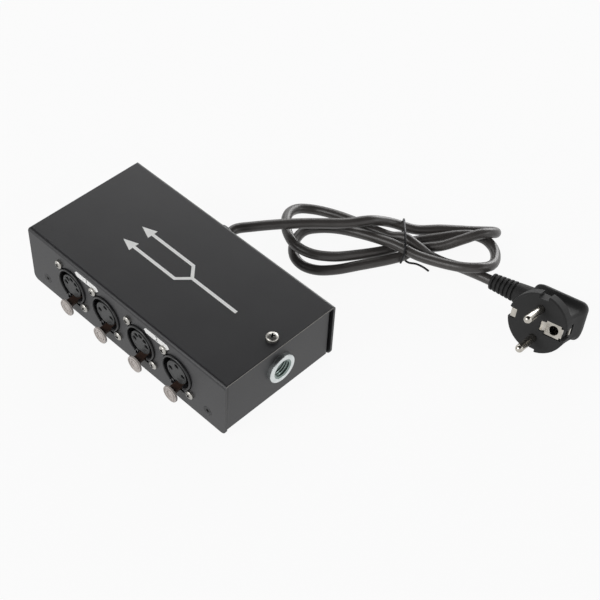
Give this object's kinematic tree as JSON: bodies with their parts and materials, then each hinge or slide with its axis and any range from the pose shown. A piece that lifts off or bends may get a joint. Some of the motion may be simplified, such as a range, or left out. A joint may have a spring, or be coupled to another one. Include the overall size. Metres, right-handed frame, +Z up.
{
  "type": "dmx splitter",
  "caption": "Signal splitter box of folded black sheet metal with latching round outlets, round inlets at the back, a hanging bush and a mains lead with an angled plug.",
  "frame": {"origin": "middle of the underside of the box, on the surface it stands on", "axes": "+X along the outlet wall, from left to right as seen from that wall's side; +Y from the outlet wall to the back wall; +Z up"},
  "size_m": [0.254, 0.2289, 0.0423],
  "materials": {
    "black_paint": "satin textured powder coat",
    "black_screw": "black",
    "housing_plastic": "satin",
    "insert_plastic": "satin",
    "latch_plastic": "satin",
    "nickel": "bright",
    "zinc": "bright",
    "steel": "turned",
    "board": "satin",
    "module_plastic": "satin",
    "capacitor_sleeve": "gloss",
    "terminal_plastic": "satin",
    "cord_rubber": "satin",
    "plug_rubber": "matte"
  },
  "bodies": {
    "housing": {"top_cover": "black_paint", "base_chassis": "black_paint", "cover_screw_front_left": "black_screw", "cover_screw_front_right": "black_screw", "cover_screw_back_left": "black_screw", "cover_screw_back_right": "black_screw", "outlet_shell_1": "housing_plastic", "outlet_insert_1": "insert_plastic", "outlet_screw_1a": "nickel", "outlet_screw_1b": "nickel", "outlet_shell_2": "housing_plastic", "outlet_insert_2": "insert_plastic", "outlet_screw_2a": "nickel", "outlet_screw_2b": "nickel", "outlet_shell_3": "housing_plastic", "outlet_insert_3": "insert_plastic", "outlet_screw_3a": "nickel", "outlet_screw_3b": "nickel", "outlet_shell_4": "housing_plastic", "outlet_insert_4": "insert_plastic", "outlet_screw_4a": "nickel", "outlet_screw_4b": "nickel", "inlet_shell_1": "housing_plastic", "inlet_insert_1": "insert_plastic", "inlet_screw_1a": "nickel", "inlet_screw_1b": "nickel", "inlet_shell_2": "housing_plastic", "inlet_insert_2": "insert_plastic", "inlet_screw_2a": "nickel", "inlet_screw_2b": "nickel", "suspension_bush": "zinc", "bush_block": "steel", "bush_screw": "nickel", "gland_body": "housing_plastic", "gland_cap": "housing_plastic", "gland_nut": "housing_plastic", "circuit_board": "board", "power_module": "module_plastic", "fuse_holder": "module_plastic", "signal_isolator": "module_plastic", "capacitor": "capacitor_sleeve", "terminal_block": "terminal_plastic", "cord_lead": "cord_rubber", "cord_hank": "cord_rubber", "cord_tie": "black_screw", "plug_body": "plug_rubber", "plug_pin_upper": "nickel", "plug_pin_lower": "nickel", "earth_contact": "nickel", "earth_clip_near": "nickel", "earth_clip_far": "nickel"},
    "latch_1_lever": {"latch_1": "latch_plastic"},
    "latch_2_lever": {"latch_2": "latch_plastic"},
    "latch_3_lever": {"latch_3": "latch_plastic"},
    "latch_4_lever": {"latch_4": "latch_plastic"}
  },
  "joints": [
    {"name": "latch_1_press", "type": "hinge", "parent": "housing", "child": "latch_1_lever", "pos_m": [-0.0435, -0.03765, 0.0043], "axis": [-1, 0, 0], "range_deg": [0, 10], "stiffness_Nm_per_rad": 0.08, "springref_deg": -11.46},
    {"name": "latch_2_press", "type": "hinge", "parent": "housing", "child": "latch_2_lever", "pos_m": [-0.0145, -0.03765, 0.0043], "axis": [-1, 0, 0], "range_deg": [0, 10], "stiffness_Nm_per_rad": 0.08, "springref_deg": -11.46},
    {"name": "latch_3_press", "type": "hinge", "parent": "housing", "child": "latch_3_lever", "pos_m": [0.0145, -0.03765, 0.0043], "axis": [-1, 0, 0], "range_deg": [0, 10], "stiffness_Nm_per_rad": 0.08, "springref_deg": -11.46},
    {"name": "latch_4_press", "type": "hinge", "parent": "housing", "child": "latch_4_lever", "pos_m": [0.0435, -0.03765, 0.0043], "axis": [-1, 0, 0], "range_deg": [0, 10], "stiffness_Nm_per_rad": 0.08, "springref_deg": -11.46}
  ]
}
